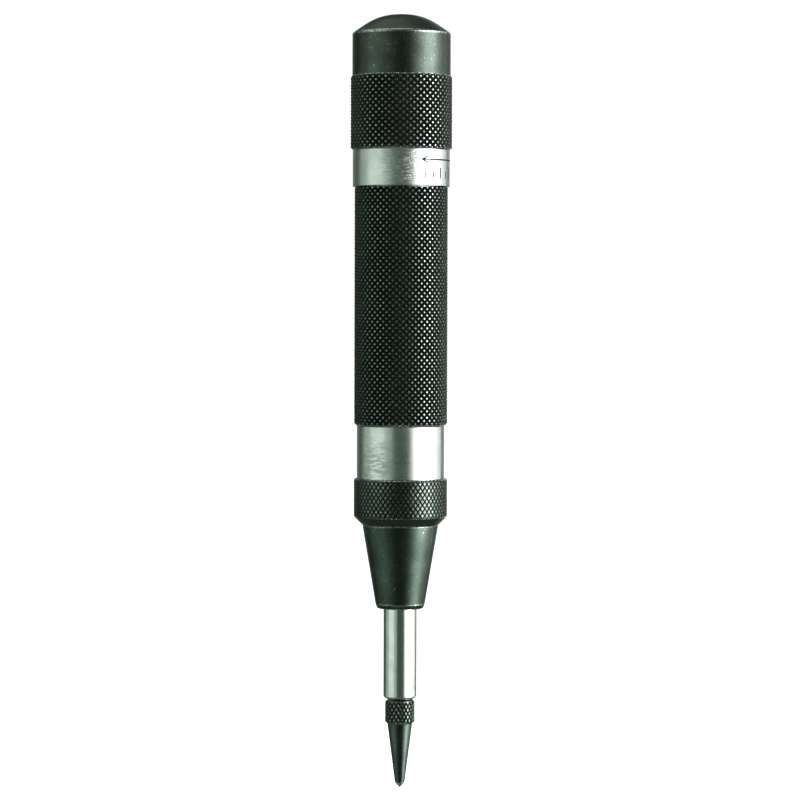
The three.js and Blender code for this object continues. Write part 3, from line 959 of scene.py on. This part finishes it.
def mark_cutter(outline, bottom):
    """A thin solid that reaches through the skirt's surface, with this outline."""
    edge = dense_outline(outline)
    work = bmesh.new()
    layers = []
    for radius in (SKIRT_RADIUS - MARK_DEPTH, SKIRT_RADIUS + MARK_OVERCUT):
        layer = []
        for degrees, height in edge:
            angle = math.radians(degrees)
            place = Vector((radius * math.sin(angle), -radius * math.cos(angle), bottom + height))
            layer.append(work.verts.new(place * MM))
        layers.append(layer)
    inner, outer = layers
    for j in range(len(edge)):
        right = (j + 1) % len(edge)
        work.faces.new((inner[j], inner[right], outer[right], outer[j]))
    ends = [work.faces.new(outer), work.faces.new(inner[::-1])]
    bmesh.ops.triangulate(work, faces=ends)
    bmesh.ops.recalc_face_normals(work, faces=work.faces)
    mesh = bpy.data.meshes.new("mark_cutter")
    work.to_mesh(mesh)
    work.free()
    return mesh


def dense_outline(outline):
    """The same outline with points close enough to follow the round skirt."""
    dense = []
    for (a0, h0), (a1, h1) in zip(outline, outline[1:] + outline[:1]):
        parts = max(1, int(abs(a1 - a0) / MARK_STEP))
        dense += [(a0 + (a1 - a0) * k / parts, h0 + (h1 - h0) * k / parts) for k in range(parts)]
    return dense


# ---------------------------------------------------------------- studio

def softbox(name, bearing, elevation, spread, tall, radiance, colour):
    """A softbox that faces the tool. bearing and elevation say where it stands, seen from the tool,
    in degrees right of the camera and above the level. spread and tall are its angles of view."""
    data = bpy.data.lights.new(name, "AREA")
    data.shape = "RECTANGLE"
    data.size = 2 * LIGHT_DISTANCE * math.tan(math.radians(spread / 2))
    data.size_y = 2 * LIGHT_DISTANCE * math.tan(math.radians(tall / 2))
    data.energy = radiance * math.pi * data.size * data.size_y
    data.color = colour
    lamp = bpy.data.objects.new(name, data)
    bpy.context.scene.collection.objects.link(lamp)
    turn, lift = math.radians(bearing), math.radians(elevation)
    away = Vector((math.sin(turn) * math.cos(lift), -math.cos(turn) * math.cos(lift), math.sin(lift)))
    lamp.location = Vector((0, 0, TOOL_MIDDLE)) + away * LIGHT_DISTANCE
    lamp.rotation_euler = (-away).to_track_quat("-Z", "Y").to_euler()


def make_lights():
    softbox("left_wide", -68, 3, 92, 66, 0.46, COOL_LIGHT)
    softbox("left_inner", -64, 3, 42, 60, 0.55, COOL_LIGHT)
    softbox("right_wide", 80, 3, 104, 66, 1.1, NEUTRAL_LIGHT)
    softbox("right_middle", 71, 3, 64, 62, 1.9, NEUTRAL_LIGHT)
    softbox("right_core", 70, 3, 31, 56, 5.9, NEUTRAL_LIGHT)
    softbox("top", -120, 68, 50, 50, 0.6, COOL_LIGHT)
    softbox("rear_left", -156, 3, 22, 60, 0.18, NEUTRAL_LIGHT)
    softbox("rear_right", 162, 3, 26, 60, 0.45, NEUTRAL_LIGHT)


def make_world():
    """White to the camera. What the tool reflects is a dim room, paler overhead and underfoot."""
    world = bpy.data.worlds.new("studio")
    bpy.context.scene.world = world
    world.use_nodes = True
    tree = world.node_tree
    tree.nodes.clear()
    seen = tree.nodes.new("ShaderNodeBackground")
    seen.inputs["Color"].default_value = (1, 1, 1, 1)
    seen.inputs["Strength"].default_value = 1.05
    room = tree.nodes.new("ShaderNodeBackground")
    place = tree.nodes.new("ShaderNodeTexCoord")
    parts = tree.nodes.new("ShaderNodeSeparateXYZ")
    steep = tree.nodes.new("ShaderNodeMath")
    steep.operation = "ABSOLUTE"
    ramp = tree.nodes.new("ShaderNodeValToRGB")
    ramp.color_ramp.elements[0].position = 0.55
    ramp.color_ramp.elements[0].color = DIM_ROOM
    ramp.color_ramp.elements[1].position = 0.90
    ramp.color_ramp.elements[1].color = PALE_ROOM
    path = tree.nodes.new("ShaderNodeLightPath")
    mix = tree.nodes.new("ShaderNodeMixShader")
    out = tree.nodes.new("ShaderNodeOutputWorld")
    for source, target in (
        (place.outputs["Generated"], parts.inputs[0]),
        (parts.outputs["Z"], steep.inputs[0]),
        (steep.outputs[0], ramp.inputs["Fac"]),
        (ramp.outputs["Color"], room.inputs["Color"]),
        (path.outputs["Is Camera Ray"], mix.inputs["Fac"]),
        (room.outputs[0], mix.inputs[1]),
        (seen.outputs[0], mix.inputs[2]),
        (mix.outputs[0], out.inputs["Surface"]),
    ):
        tree.links.new(source, target)


def make_floor():
    """A plain pale floor just under the point. Its glow keeps it as white as the room behind."""
    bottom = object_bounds()[0][2]
    work = bmesh.new()
    bmesh.ops.create_circle(work, cap_ends=True, radius=FLOOR_RADIUS, segments=PLAIN_SECTORS)
    mesh = bpy.data.meshes.new("floor")
    work.to_mesh(mesh)
    work.free()
    floor = bpy.data.objects.new("floor", mesh)
    floor.location = (0, 0, bottom - FLOOR_GAP)
    bpy.context.scene.collection.objects.link(floor)
    material = bpy.data.materials.new("pale_floor")
    material.use_nodes = True
    shader = material.node_tree.nodes["Principled BSDF"]
    shader.inputs["Base Color"].default_value = (0.9, 0.9, 0.9, 1)
    shader.inputs["Roughness"].default_value = 0.9
    shader.inputs["Emission Color"].default_value = (1, 1, 1, 1)
    shader.inputs["Emission Strength"].default_value = 1.0
    mesh.materials.append(material)
    floor.visible_glossy = False
    floor.visible_diffuse = False


def make_camera():
    data = bpy.data.cameras.new("camera")
    data.sensor_width = SENSOR
    data.lens = SENSOR * CAMERA_DISTANCE / FRAME_WIDTH
    data.clip_start = 0.01
    data.clip_end = 20
    camera = bpy.data.objects.new("camera", data)
    bpy.context.scene.collection.objects.link(camera)
    camera.location = (CAMERA_SIDE, -CAMERA_DISTANCE, TOOL_MIDDLE + CAMERA_RISE)
    tilt = math.atan2(CAMERA_RISE - AIM_RISE, CAMERA_DISTANCE)
    camera.rotation_euler = (math.radians(90) - tilt, CAMERA_ROLL, 0)
    bpy.context.scene.camera = camera


make_cap()
make_barrel()
make_nosepiece()
make_rod()
make_point()
make_pin()
make_stop_ring()
make_hammer()
make_trigger()
make_spring_seat()
make_upright_spring("main_spring", MAIN_SPRING, "hammer")
make_upright_spring("return_spring", RETURN_SPRING, "barrel")
make_trigger_spring()
make_world()
make_lights()
make_floor()
make_camera()
bpy.context.scene.view_settings.view_transform = "Standard"
